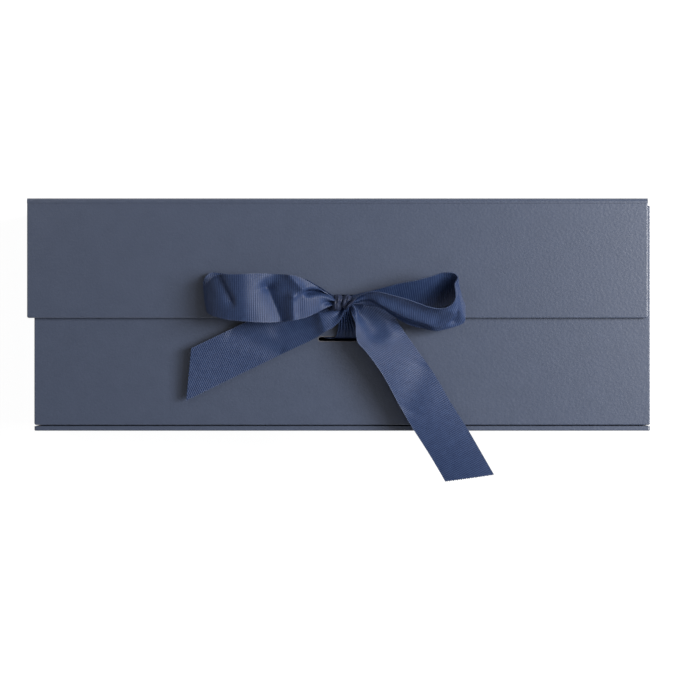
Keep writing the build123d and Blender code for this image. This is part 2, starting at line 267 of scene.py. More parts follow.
@dataclass(frozen=True)
class PaperFinish:
    """A paper or card: a fine grain, a slow unevenness, fibres and pressed pulp.

    grain, mottle, fibre and pulp are sizes of spots in millimetres. grain_height is the height
    of the grain's bump in millimetres, and the other two reliefs are counted in it.
    """

    name: str
    colour: Colour
    light: Colour
    roughness: float = 0.55
    specular: float = 0.4
    grain: float = 0.35
    grain_height: float = 0.02
    grain_share: float = 0.42
    grain_dark: float = 0.16
    mottle: float = 9.0
    fibre: float = 1.4
    fibre_stretch: Point = (0.35, 1.6, 1.6)
    fibre_share: float = 0.3
    fibre_relief: float = 1.5
    pulp: float = 1.5
    pulp_relief: float = 3.5
    roughness_spread: float = 0.18

    def material(self) -> bpy.types.Material:
        """Build the finish.

        Returns:
            The material.
        """
        shader = Shader(self.name)
        place = shader.place()
        cloud = shader.noise(place, self.mottle, 4)
        tone = shader.ramp(cloud, (0.3, self.colour), (0.72, mixed(self.colour, self.light, 0.5)))
        grain = shader.noise(place, self.grain, 5)
        speck = shader.ramp(grain, (0.35, mixed(self.colour, BLACK, self.grain_dark)),
                            (0.66, self.light))
        fibre = shader.noise(place, self.fibre, 2, self.fibre_stretch)
        fleck = shader.ramp(fibre, (0.62, BLACK), (0.72, WHITE))
        colour = shader.mix(shader.calculate("MULTIPLY", fleck, self.fibre_share),
                            shader.mix(self.grain_share, tone, speck), self.light)
        rough = shader.calculate("MULTIPLY_ADD", grain, self.roughness_spread,
                                 self.roughness - self.roughness_spread / 2)
        fine = shader.bump(grain, self.grain_height, 1.0)
        pulp = shader.noise(place, self.pulp, 3)
        pressed = shader.bump(pulp, self.grain_height * self.pulp_relief, 1.0, fine)
        soft = shader.bump(fibre, self.grain_height * self.fibre_relief, 0.5, pressed)
        return shader.finish(Base_Color=colour, Roughness=rough, Normal=soft,
                             Specular_IOR_Level=self.specular)


@dataclass(frozen=True)
class RibbonFinish:
    """A ribbed ribbon: fine ribs across it, threads along it and a woven edge. Its colour is
    painted shade in the rib valleys and painted light on the crests.

    It reads the ribbon's own map, which gives the place on the flat ribbon in ribbon widths.
    Pitches, heights and the size of the slubs are millimetres. The woven edge starts that far from
    the middle, and its crests get a whiter painted highlight.
    """

    name: str
    painted_valley_shade: Colour
    painted_crest_light: Colour
    rib_pitch: float = 1.01
    rib_height: float = 0.16
    rib_swing: float = 0.28
    thread_pitch: float = 0.9
    thread_share: float = 0.35
    slub: float = 3.2
    slub_swing: float = 0.5
    woven_edge: float = 0.482
    # How much whiter painted highlight the woven edge's crests get
    woven_edge_share: float = 0.25
    roughness: float = 0.46
    specular: float = 0.28

    def material(self) -> bpy.types.Material:
        """Build the finish.

        The height of the weave is a sine along the ribbon for the ribs, plus the product of two
        slanted sines for the dots that the threads make on them. The colour follows that height,
        from painted shade in the valleys to painted light on the crests, and random slubs make it
        uneven.

        Returns:
            The material.
        """
        shader = Shader(self.name)
        calculate = shader.calculate
        flat = shader.add("ShaderNodeUVMap", uv_map="flat_ribbon").outputs["UV"]
        parts = shader.add("ShaderNodeSeparateXYZ", {"Vector": flat}).outputs
        ribs = RIBBON_WIDTH / self.rib_pitch * math.tau
        threads = RIBBON_WIDTH / self.thread_pitch * math.tau
        rib = calculate("SINE", calculate("MULTIPLY", parts["X"], ribs))
        along = calculate("MULTIPLY", parts["X"], ribs / 2)
        across = calculate("MULTIPLY", parts["Y"], threads / 2)
        rising = calculate("SINE", calculate("ADD", along, across))
        falling = calculate("SINE", calculate("SUBTRACT", along, across))
        dots = calculate("MULTIPLY", rising, falling)
        weave = calculate("MULTIPLY_ADD", dots, self.thread_share, rib)
        height = calculate("MULTIPLY_ADD", weave, self.rib_swing, 0.5)
        slub = shader.noise(shader.place(), self.slub, 4)
        uneven = calculate("MULTIPLY_ADD", slub, self.slub_swing, -self.slub_swing / 2)
        tone = calculate("ADD", height, uneven)
        # Colour by weave height: painted shade in the rib valleys, painted light on the crests,
        # with random slubs
        colour = shader.ramp(tone, (0.12, self.painted_valley_shade), (0.9, self.painted_crest_light))
        from_middle = calculate("ABSOLUTE", calculate("SUBTRACT", parts["Y"], 0.5))
        on_edge = calculate("GREATER_THAN", from_middle, self.woven_edge)
        # A whiter painted highlight on the crests of the woven edge
        edge_painted_highlight = calculate("MULTIPLY", on_edge,
                               calculate("MULTIPLY", height, self.woven_edge_share))
        with_edge_highlight = shader.mix(edge_painted_highlight, colour, mixed(self.painted_crest_light, WHITE, 0.16))
        relief = shader.bump(height, self.rib_height, 0.9)
        return shader.finish(Base_Color=with_edge_highlight, Normal=relief, Roughness=self.roughness,
                             Specular_IOR_Level=self.specular)


@dataclass(frozen=True)
class TapeFinish:
    """A creped paper tape or a smooth liner: fine lines across it and a soft unevenness."""

    name: str
    colour: Colour
    light: Colour
    line_pitch: float
    roughness: float
    line_stretch: Point = (0.15, 1.0, 1.0)
    line_height: float = 0.03

    def material(self) -> bpy.types.Material:
        """Build the finish.

        Returns:
            The material.
        """
        shader = Shader(self.name)
        lines = shader.noise(shader.place(), self.line_pitch, 2, self.line_stretch)
        return shader.finish(Base_Color=shader.ramp(lines, (0.3, self.colour), (0.75, self.light)),
                             Normal=shader.bump(lines, self.line_height, 0.8),
                             Roughness=self.roughness)


@dataclass(frozen=True)
class PlatedFinish:
    """Plated steel with faint stains, which are also less smooth."""

    name: str
    colour: Colour
    roughness: float
    stain: float = 2.5
    stain_dark: float = 0.25
    stain_roughness: float = 0.2

    def material(self) -> bpy.types.Material:
        """Build the finish.

        Returns:
            The material.
        """
        shader = Shader(self.name)
        stain = shader.noise(shader.place(), self.stain, 5)
        colour = shader.ramp(stain, (0.3, mixed(self.colour, BLACK, self.stain_dark)),
                             (0.7, self.colour))
        rough = shader.calculate("MULTIPLY_ADD", stain, self.stain_roughness, self.roughness)
        return shader.finish(Base_Color=colour, Roughness=rough, Metallic=1.0)


class Finish(Enum):
    """The finishes of the box, most under the names of the record's material slots."""

    COVER_PAPER = PaperFinish("cover_paper", shades(68, 79, 103), shades(80, 91, 116),
                              roughness=0.34, specular=0.9)
    PAPER_EDGE = PaperFinish("paper_edge", shades(112, 112, 120), shades(140, 140, 148),
                             roughness=0.8, specular=0.2, grain=0.5, mottle=3.0)
    LINING_PAPER = PaperFinish("lining_paper", shades(72, 80, 99), shades(88, 96, 113),
                               roughness=0.7, specular=0.25, grain_height=0.03)
    GREYBOARD = PaperFinish("greyboard", shades(142, 136, 126), shades(172, 166, 154),
                            roughness=0.85, specular=0.2, grain=0.6, grain_height=0.06,
                            mottle=5.0, fibre_share=0.6)
    TAB_CARD = PaperFinish("tab_card", shades(70, 78, 97), shades(86, 94, 111),
                           roughness=0.62, specular=0.3)
    HINGE_TAPE = TapeFinish("hinge_tape", shades(62, 69, 88), shades(80, 87, 105), 0.5, 0.65)
    ADHESIVE_TAPE = TapeFinish("adhesive_tape", shades(214, 212, 202), shades(236, 234, 226),
                               6.0, 0.35)
    # The ribbon's two colours: painted shade for the rib valleys and painted light for the crests
    RIBBON = RibbonFinish("ribbon", shades(31, 46, 82), shades(62, 81, 121))
    # A darker, greyer copy of the ribbon for the knot: painted shade where the loops shadow it
    KNOT_IN_PAINTED_SHADE = RibbonFinish("knot_in_painted_shade", shades(30, 38, 62), shades(56, 66, 96))
    MAGNET = PlatedFinish("magnet", shades(222, 222, 224), 0.16)
    STEEL_DISC = PlatedFinish("steel_disc", shades(205, 205, 207), 0.32)


class Finishes:
    """Makes each finish once and hands it out."""

    def __init__(self) -> None:
        """Build every material."""
        self.materials = {finish: finish.value.material() for finish in Finish}

    def dress(self, piece: bpy.types.Object, finish: Finish, slot: Finish | None = None) -> None:
        """Give a piece one finish.

        Args:
            piece: the object.
            finish: its finish.
            slot: the finish with the slot's name, where its own has none in the record; not used.
        """
        piece.data.materials.append(self.materials[finish])


def grid_faces(rows: int, columns: int, closed: bool = False) -> np.ndarray:
    """The quads of a grid of points, row by row.

    Args:
        rows: how many rows it has.
        columns: how many points a row has.
        closed: whether the last column joins the first.

    Returns:
        Four point numbers for each face.
    """
    number = np.arange(rows * columns).reshape(rows, columns)
    if closed:
        number = np.concatenate([number, number[:, :1]], axis=1)
    return np.stack([number[:-1, :-1], number[1:, :-1], number[1:, 1:], number[:-1, 1:]],
                    axis=-1).reshape(-1, 4)


def write_mesh(name: str, points: np.ndarray, faces: list[list[int]],
               flat: np.ndarray | None = None, crease_angle: float = 50.0) -> bpy.types.Object:
    """Make an object from points in millimetres.

    Args:
        name: the piece's name.
        points: its points, one row each.
        faces: the point numbers of each face.
        flat: each point's place on the flat ribbon, in ribbon widths.
        crease_angle: the angle in degrees past which an edge stays sharp.

    Returns:
        The object, linked to the scene.
    """
    mesh = bpy.data.meshes.new(name)
    mesh.from_pydata((points * MM).tolist(), [], faces)
    if flat is not None:
        corners = np.empty(len(mesh.loops), dtype=np.int32)
        mesh.loops.foreach_get("vertex_index", corners)
        layer = mesh.uv_layers.new(name="flat_ribbon")
        layer.data.foreach_set("uv", flat[corners].astype(np.float32).ravel())
    mesh.polygons.foreach_set("use_smooth", np.ones(len(mesh.polygons), dtype=bool))
    mesh.set_sharp_from_angle(angle=math.radians(crease_angle))
    mesh.update()
    piece = bpy.data.objects.new(name, mesh)
    bpy.context.scene.collection.objects.link(piece)
    return piece


def surface_normals(grid: np.ndarray) -> np.ndarray:
    """The unit normals of a grid: the cross product of its two directions at each point."""
    normal = np.cross(np.gradient(grid, axis=0), np.gradient(grid, axis=1))
    return normal / np.maximum(np.linalg.norm(normal, axis=2, keepdims=True), 1e-9)


def thick_sheet(name: str, grid: np.ndarray, thickness: np.ndarray,
                flat: np.ndarray | None = None) -> bpy.types.Object:
    """Make a closed thin sheet round a grid of points.

    Each point goes half the thickness out along the normal and half in. The two sides are one
    ring of points per row, and the first and last row are closed with faces of their own.

    Args:
        name: the piece's name.
        grid: the middle of the sheet, rows by columns by three.
        thickness: its thickness at each point of the grid.
        flat: each point's place on the flat ribbon.

    Returns:
        The object.
    """
    rows, columns = grid.shape[:2]
    half = surface_normals(grid) * thickness[..., None] / 2
    rings = np.concatenate([grid + half, (grid - half)[:, ::-1]], axis=1)
    number = np.arange(2 * columns)
    near, far = number[:columns], number[:columns - 1:-1]
    first_cap = np.stack([near[:-1], far[:-1], far[1:], near[1:]], axis=1)
    last_cap = first_cap[:, ::-1] + (rows - 1) * 2 * columns
    faces = np.concatenate([grid_faces(rows, 2 * columns, closed=True), first_cap, last_cap])
    if flat is not None:
        flat = np.concatenate([flat, flat[:, ::-1]], axis=1).reshape(-1, 2)
    return write_mesh(name, rings.reshape(-1, 3), faces.tolist(), flat)


def smooth_path(stations: np.ndarray, lengths: np.ndarray, at: np.ndarray) -> np.ndarray:
    """Points on a smooth curve through the stations.

    Between two stations it is the cubic whose ends have the stations' places and whose slopes
    are those of the parabola through each station and its two neighbours.

    Args:
        stations: one row of values for each station.
        lengths: how far along each station lies.
        at: how far along the wanted points lie.

    Returns:
        One row of values for each wanted point.
    """
    step = np.diff(lengths)[:, None]
    slope = np.diff(stations, axis=0) / step
    tangent = np.empty_like(stations)
    tangent[1:-1] = (slope[:-1] * step[1:] + slope[1:] * step[:-1]) / (step[:-1] + step[1:])
    tangent[0], tangent[-1] = slope[0], slope[-1]
    place = np.clip(np.searchsorted(lengths, at, side="right") - 1, 0, len(lengths) - 2)
    span = step[place]
    t = ((at - lengths[place]) / span[:, 0])[:, None]
    return ((1 + 2 * t) * (1 - t) ** 2 * stations[place]
            + t * (1 - t) ** 2 * span * tangent[place]
            + t ** 2 * (3 - 2 * t) * stations[place + 1]
            - t ** 2 * (1 - t) * span * tangent[place + 1])


@dataclass(frozen=True)
class Fold:
    """A soft fold or hollow pressed into a ribbon.

    Both ends are places on the flat ribbon: how far along it and how far across it from its
    first edge. A hollow has a height below zero. steep is how much sharper its left side is,
    seen from its start, fade is how far it runs out past its ends, and power is 2 for a round
    fold and near 1 for a crease.
    """

    start: tuple[float, float]
    end: tuple[float, float]
    height: float
    spread: float
    steep: float = 1.0
    fade: float = 3.0
    power: float = 2.0

    def lift(self, along: np.ndarray, across: np.ndarray) -> np.ndarray:
        """How far the fold lifts each point: a bell across its line that fades at its ends.

        Args:
            along: how far along the ribbon each point lies.
            across: how far across it each point lies.

        Returns:
            The height at each point.
        """
        (x0, y0), (x1, y1) = self.start, self.end
        reach = math.hypot(x1 - x0, y1 - y0)
        ux, uy = (x1 - x0) / reach, (y1 - y0) / reach
        run = (along - x0) * ux + (across - y0) * uy
        side = (across - y0) * ux - (along - x0) * uy
        past = np.maximum(np.maximum(-run, run - reach), 0)
        width = np.where(side > 0, self.spread / self.steep, self.spread)
        across_line = np.abs(side / width) ** self.power
        return self.height * np.exp(-across_line - (past / self.fade) ** 2)


@dataclass
class RibbonRun:
    """A stretch of ribbon through stations, each a place for its first and its second edge.

    Heights of stations are counted from the flap's outer face. Between the edges the ribbon
    crowns. Where they are closer than gather, a share of its width, it has waves, which start at
    the phase wave_turn and die away from its tied ends within gather_reach. Where cut_at has a
    place for each edge, the ribbon is cut there, and its threads stand out by a tooth. The woven
    edge is a share thicker than the middle. node is the solid that the ribbon stands for and body
    what it rides on. held and rests_on, which would say how and by what it is held, are not used.
    """

    name: str
    node: str
    stations: list[Station]
    body: str = "flap"
    held: str = "gathered"
    rests_on: str = "bow_knot_wrap"
    cut_at: tuple[tuple[float, float], tuple[float, float]] | None = None
    cut_length: float | None = None
    folds: list[Fold] = field(default_factory=list)
    waves: float = 1.5
    wave_turn: float = -math.pi / 2
    gather: float = 0.5
    gather_reach: float = 9.0
    tied_ends: tuple[bool, bool] = (True, True)
    crown: float = 0.5
    rows: int = 220
    columns: int = 49
    thickness: float = 0.4
    woven_edge: float = 0.45
    woven_edge_share: float = 0.2
    tooth: float = 0.24

    def marks(self) -> np.ndarray:
        """How far along the ribbon's middle each station lies.

        Returns:
            One distance for each station.
        """
        edges = np.array(self.stations, dtype=float)
        steps = np.linalg.norm(np.diff(edges.mean(axis=1), axis=0), axis=1)
        return np.concatenate([[0.0], np.cumsum(steps)])

    def ends(self) -> tuple[float, float]:
        """How far along the ribbon each edge ends.

        Without a cut both end at the last station. With one, each ends at the point of its own
        smooth path that lies nearest to the cut's place.

        Returns:
            The end of the first and of the second edge.
        """
        marks = self.marks()
        if self.cut_at is None:
            return float(marks[-1]), float(marks[-1])
        edges = np.array(self.stations, dtype=float)
        fine = np.linspace(0, marks[-1], 2000)
        ends = []
        for side, (x, y) in enumerate(self.cut_at):
            path = smooth_path(edges[:, side], marks, fine)
            ends.append(float(fine[np.argmin(np.hypot(path[:, 0] - x, path[:, 1] - y))]))
        return ends[0], ends[1]

    def sheet_length(self) -> float:
        """How long the ribbon is when it is flat."""
        return sum(self.ends()) / 2 if self.cut_length is None else self.cut_length

    def places(self) -> tuple[np.ndarray, np.ndarray]:
        """The places on the flat ribbon of all points of the grid.

        A slanted cut makes the rows fan out towards it. A cut end is frayed: its last row has a
        tooth at every second point, less even by a sine of the point's number.

        Returns:
            How far along and how far across each point lies.
        """
        share = np.linspace(0, 1, self.columns)
        first, second = self.ends()
        along = np.linspace(0, 1, self.rows)[:, None] * (first + (second - first) * share)
        if self.cut_at is not None:
            thread = np.arange(self.columns)
            along[-1] += self.tooth * ((-1.0) ** thread + np.sin(thread * 1.7) / 2)
        return along, np.broadcast_to(share * RIBBON_WIDTH, along.shape)

    def surface(self) -> tuple[np.ndarray, np.ndarray]:
        """Work out the ribbon's middle surface.

        A point lies on the straight line between the two edges, moved along the normal by the
        crown, a parabola across the ribbon, by the gathers, a sine wave whose height makes up
        for the missing width and dies away from the tied ends, and by the folds.

        Returns:
            The grid of points and each point's place on the flat ribbon.
        """
        along, across = self.places()
        marks = self.marks()
        edges = np.array(self.stations, dtype=float)
        share = across / RIBBON_WIDTH
        grid_shape = (*along.shape, 3)
        first, second = (smooth_path(edges[:, side], marks, along.ravel()).reshape(grid_shape)
                         for side in (0, 1))
        grid = first + (second - first) * share[..., None]
        gap = np.linalg.norm(second - first, axis=2)
        missing = np.sqrt(np.maximum((RIBBON_WIDTH * self.gather) ** 2 - gap ** 2, 0))
        from_ends = zip((along, marks[-1] - along), self.tied_ends)
        from_tie = np.minimum.reduce([distance for distance, tied in from_ends if tied])
        near = np.exp(-(from_tie / self.gather_reach) ** 2)
        ripple = np.sin(math.tau * self.waves * share + self.wave_turn)
        wave = near * missing / (4 * self.waves) * ripple
        crown = self.crown * 4 * share * (1 - share)
        lift = wave + crown + sum(fold.lift(along, across) for fold in self.folds)
        grid = grid + surface_normals(grid) * lift[..., None]
        grid[..., 2] += FLAP_OUTER
        return grid, np.stack([along, across], axis=-1) / RIBBON_WIDTH

    def build(self) -> bpy.types.Object:
        """Make the ribbon: its edges are woven a little thicker than its middle.

        Returns:
            The object.
        """
        grid, flat = self.surface()
        share = flat[..., 1]
        from_edge = np.minimum(share, 1 - share) * RIBBON_WIDTH
        thicker = self.woven_edge_share * np.exp(-(from_edge / self.woven_edge) ** 2)
        return thick_sheet(self.name, grid, self.thickness * (1 + thicker), flat)


# Where the glued ends of two strands lie, just behind the linings of the flap and of the front
BEHIND_FLAP = -PANEL - 0.3
BEHIND_FRONT = DEPTH - PANEL - 0.05 - FLAP_OUTER


def level(slot_y: float, *rows: tuple[float, float, float, float]) -> list[Station]:
    """Stations whose two edges lie at one height, as in a strand that leaves a slot.

    Args:
        slot_y: where the slot lies.
        rows: the first and the second edge's x, how far above the slot they lie, and z.

    Returns:
        The stations.
    """
    return [((first, slot_y + up, z), (second, slot_y + up, z)) for first, second, up, z in rows]


LOOP_LEFT = RibbonRun(
    "bow_left_loop", "bow_loop_left",
    [((-2.0, 8.4, 9.0), (-3.0, 6.2, 9.0)),
     ((-6.0, 10.0, 11.9), (-7.1, 5.0, 10.6)),
     ((-11.9, 13.7, 15.2), (-12.4, 1.7, 13.8)),
     ((-19.1, 18.0, 18.0), (-19.7, -1.8, 16.6)),
     ((-25.1, 20.5, 19.0), (-26.1, -3.2, 17.6)),
     ((-31.5, 21.3, 18.4), (-32.5, -4.1, 17.8)),
     ((-38.0, 21.7, 18.0), (-38.5, -4.4, 18.8)),
     ((-45.3, 21.8, 19.0), (-45.8, -4.3, 20.2)),
     ((-52.1, 21.5, 20.4), (-52.1, -3.9, 20.4)),
     ((-59.6, 21.3, 19.0), (-59.6, -3.2, 18.4)),
     ((-66.0, 21.3, 16.0), (-65.3, -2.1, 16.0)),
     ((-69.4, 20.2, 13.4), (-69.6, -0.8, 13.2)),
     ((-71.9, 17.6, 10.8), (-72.0, 0.5, 10.2)),
     ((-73.7, 15.6, 8.4), (-73.0, 1.5, 7.4)),
     ((-75.0, 17.4, 6.2), (-72.8, 1.4, 5.0)),
     ((-73.6, 20.9, 4.4), (-69.6, 0.2, 3.6)),
     ((-61.0, 21.9, 2.8), (-58.9, -2.4, 2.8)),
     ((-44.9, 21.2, 2.4), (-44.9, -3.4, 3.0)),
     ((-29.9, 20.5, 2.7), (-29.9, -2.8, 3.8)),
     ((-20.0, 19.2, 3.6), (-20.0, -0.5, 5.2)),
     ((-12.0, 14.9, 5.2), (-12.0, 2.9, 6.6)),
     ((-6.0, 11.1, 6.8), (-6.0, 5.7, 7.0)),
     ((-2.0, 9.3, 7.4), (-2.0, 6.7, 7.0))],
    folds=[Fold((39.5, 7), (31.5, 24), -4.0, 5.0, 1.2, 3.0, 1.3),
           Fold((36, 0), (39.5, 7), -1.0, 4.0, 1.0, 2.0),
           Fold((26, 12), (25, 24), 2.0, 4.0, 2.6, 2.4, 1.5),
           Fold((28, 0.5), (21.5, 6.5), 1.9, 3.0, 1.0, 2.0, 1.5),
           Fold((21.5, 6.5), (25.5, 12), 1.0, 2.4, 1.6, 1.5, 1.5),
           Fold((18, 8), (8, 2), -4.4, 2.0, 1.2, 2.0),
           Fold((66.5, 1), (59.5, 14), -2.2, 3.4, 2.2, 3.0, 1.4)],
    rows=300)

LOOP_RIGHT = RibbonRun(
    "bow_right_loop", "bow_loop_right",
    [((3.5, 8.0, 10.0), (3.5, 6.4, 9.5)),
     ((6.4, 9.0, 12.0), (6.5, 6.6, 10.9)),
     ((9.4, 10.6, 14.2), (9.4, 7.2, 11.2)),
     ((13.0, 12.0, 16.4), (13.3, 7.0, 11.2)),
     ((19.1, 11.9, 19.0), (18.9, 5.2, 10.8)),
     ((26.4, 10.2, 21.0), (27.2, -0.6, 9.9)),
     ((34.3, 8.0, 21.8), (36.4, -5.6, 9.0)),
     ((41.1, 5.6, 22.2), (44.6, -7.6, 8.4)),
     ((47.0, 3.6, 22.4), (50.9, -8.5, 7.9)),
     ((52.4, 2.9, 22.6), (55.7, -7.9, 7.5)),
     ((56.4, 3.9, 22.8), (60.2, -6.8, 7.2)),
     ((59.2, 6.0, 23.0), (63.7, -5.6, 7.0)),
     ((60.4, 9.0, 23.4), (65.8, -4.1, 6.8)),
     ((60.3, 13.0, 23.0), (66.4, 1.5, 5.8)),
     ((60.2, 16.6, 22.2), (66.2, 5.3, 4.6)),
     ((61.8, 19.2, 21.2), (65.2, 7.5, 3.6)),
     ((60.8, 21.2, 19.4), (61.9, 7.4, 2.8)),
     ((55.2, 22.4, 17.5), (54.9, 4.4, 2.2)),
     ((46.9, 20.1, 17.0), (45.9, 1.8, 2.0)),
     ((39.4, 18.1, 16.5), (37.9, 0.8, 2.2)),
     ((31.5, 16.7, 15.0), (28.9, 1.5, 3.4)),
     ((19.2, 13.5, 12.5), (16.9, 4.7, 5.6)),
     ((10.9, 11.2, 10.0), (9.9, 6.1, 6.8)),
     ((6.4, 9.8, 8.5), (6.5, 6.5, 7.0)),
     ((3.5, 8.8, 8.0), (3.5, 6.7, 7.0))],
    folds=[Fold((20, 13), (44, 14.5), -3.2, 5.5, 1.0, 7.0),
           Fold((48, 21), (60, 8), -1.9, 3.2, 1.0, 3.0),
           Fold((59, 20), (68, 9), 2.2, 3.2, 1.0, 2.5)],
    crown=0.2, rows=300)

TAIL_LEFT = RibbonRun(
    "bow_left_tail", "bow_tail_left",
    [((-1.5, 6.7, 7.2), (2.0, 4.2, 6.8)),
     ((-4.5, 5.5, 7.2), (1.2, 1.6, 7.0)),
     ((-8.0, 4.3, 6.2), (-0.6, -2.7, 7.4)),
     ((-12.5, 3.7, 5.0), (-4.0, -6.4, 6.8)),
     ((-18.0, 4.5, 3.4), (-8.4, -9.0, 5.4)),
     ((-27.0, 5.0, 2.0), (-15.5, -13.3, 3.4)),
     ((-38.0, 2.4, 1.4), (-27.5, -19.0, 1.4)),
     ((-53.7, -4.8, 1.6), (-43.0, -26.5, 0.2)),
     ((-67.9, -11.5, 2.0), (-57.6, -33.5, 0.0)),
     ((-81.8, -18.2, 2.4), (-71.3, -40.2, 0.4)),
     ((-90.8, -22.6, 2.4), (-80.3, -44.6, 1.0)),
     ((-98.8, -26.5, 2.4), (-88.3, -48.4, 1.4))],
    folds=[Fold((13, 8), (16.5, 24), 1.7, 4.0, 1.0, 3.0, 1.6),
           Fold((26, 9), (40, 12), -0.6, 4.5),
           Fold((44, 24), (62, 2), -0.8, 5.0)],
    held="draped", cut_at=((-81.8, -18.2), (-84.7, -46.6)),
    gather=0.55, gather_reach=8.0, tied_ends=(True, False))

TAIL_RIGHT = RibbonRun(
    "bow_right_tail", "bow_tail_right",
    [((4.6, 4.5, 8.0), (4.4, 7.3, 6.6)),
     ((5.9, 1.5, 9.0), (8.0, 7.5, 5.2)),
     ((7.1, -4.7, 9.6), (12.4, 7.3, 4.0)),
     ((7.3, -9.5, 10.6), (19.3, 6.1, 3.0)),
     ((8.2, -14.8, 11.8), (26.1, 1.4, 3.2)),
     ((12.6, -20.0, 12.6), (31.8, -6.8, 4.4)),
     ((20.9, -31.3, 13.0), (40.2, -18.7, 6.6)),
     ((29.7, -47.1, 12.8), (50.1, -32.8, 8.4)),
     ((36.7, -59.4, 12.4), (58.1, -46.8, 10.0)),
     ((46.2, -74.3, 12.2), (67.5, -61.8, 11.6)),
     ((53.9, -87.3, 12.4), (75.3, -75.3, 13.2)),
     ((60.1, -98.6, 13.4), (81.5, -86.1, 14.2))],
    folds=[Fold((3, 11), (20, 11.5), -1.9, 5.0, 1.0, 6.0),
           Fold((8, 21), (26, 19), 0.8, 4.0),
           Fold((64, 3), (52, 22), -0.8, 7.0)],
    held="draped", cut_at=((55.4, -89.8), (81.5, -86.1)),
    gather=0.55, gather_reach=8.0, tied_ends=(True, False))

FLAP_STRAND = RibbonRun(
    "flap_ribbon_strand", "flap_ribbon",
    level(FLAP_SLOT_Y,
          (-12.5, 12.5, 25.0, BEHIND_FLAP),
          (-12.5, 12.5, 14.0, BEHIND_FLAP),
          (-12.5, 12.5, 3.0, BEHIND_FLAP),
          (-12.5, 12.5, 0.2, BEHIND_FLAP + 0.8),
          (-12.4, 12.4, 0.0, -1.4),
          (-11.8, 11.8, -0.2, 0.3),
          (-8.0, 8.4, -0.8, 2.4),
          (-4.4, 5.0, -1.6, 5.0),
          (-3.6, 4.2, -2.4, 7.0)),
    rests_on="flap_lining", cut_length=36.0,
    waves=2.5, gather=0.7, gather_reach=17.0, tied_ends=(False, True), crown=0.0,
    rows=120, columns=41)

FRONT_STRAND = RibbonRun(
    "front_ribbon_strand", "front_ribbon",
    level(FRONT_SLOT_Y,
          (-12.5, 12.5, 25.0, BEHIND_FRONT),
          (-12.5, 12.5, 14.0, BEHIND_FRONT),
          (-12.0, 12.5, 3.0, BEHIND_FRONT),
          (-9.0, 11.5, 0.6, BEHIND_FRONT + 0.8),
          (-5.4, 10.0, 0.5, -4.9),
          (-3.8, 9.0, 1.2, -3.1),
          (-3.0, 8.2, 3.0, -1.2),
          (-2.2, 7.2, 6.0, 0.8),
          (-1.8, 6.0, 9.0, 2.4)),
    body="front", rests_on="front_lining", cut_length=38.0,
    waves=5.5, gather=0.6, gather_reach=10.0, tied_ends=(False, True), crown=0.0,
    rows=130, columns=89)

TIE_STRAND = RibbonRun(
    "bow_tie_strand", "bow_lower_strand",
    level(0.0,
          (-1.8, 6.0, -3.85, 2.6),
          (-1.6, 5.2, -1.6, 3.6),
          (-1.4, 4.4, 0.6, 4.6),
          (-1.2, 3.6, 3.0, 5.8),
          (-1.0, 3.2, 5.0, 7.0)),
    cut_length=11.0, waves=5.5, gather=0.85, gather_reach=17.0, crown=0.0,
    rows=60, columns=89)

RIBBON_RUNS = (LOOP_LEFT, LOOP_RIGHT, TAIL_LEFT, TAIL_RIGHT, FLAP_STRAND, FRONT_STRAND, TIE_STRAND)


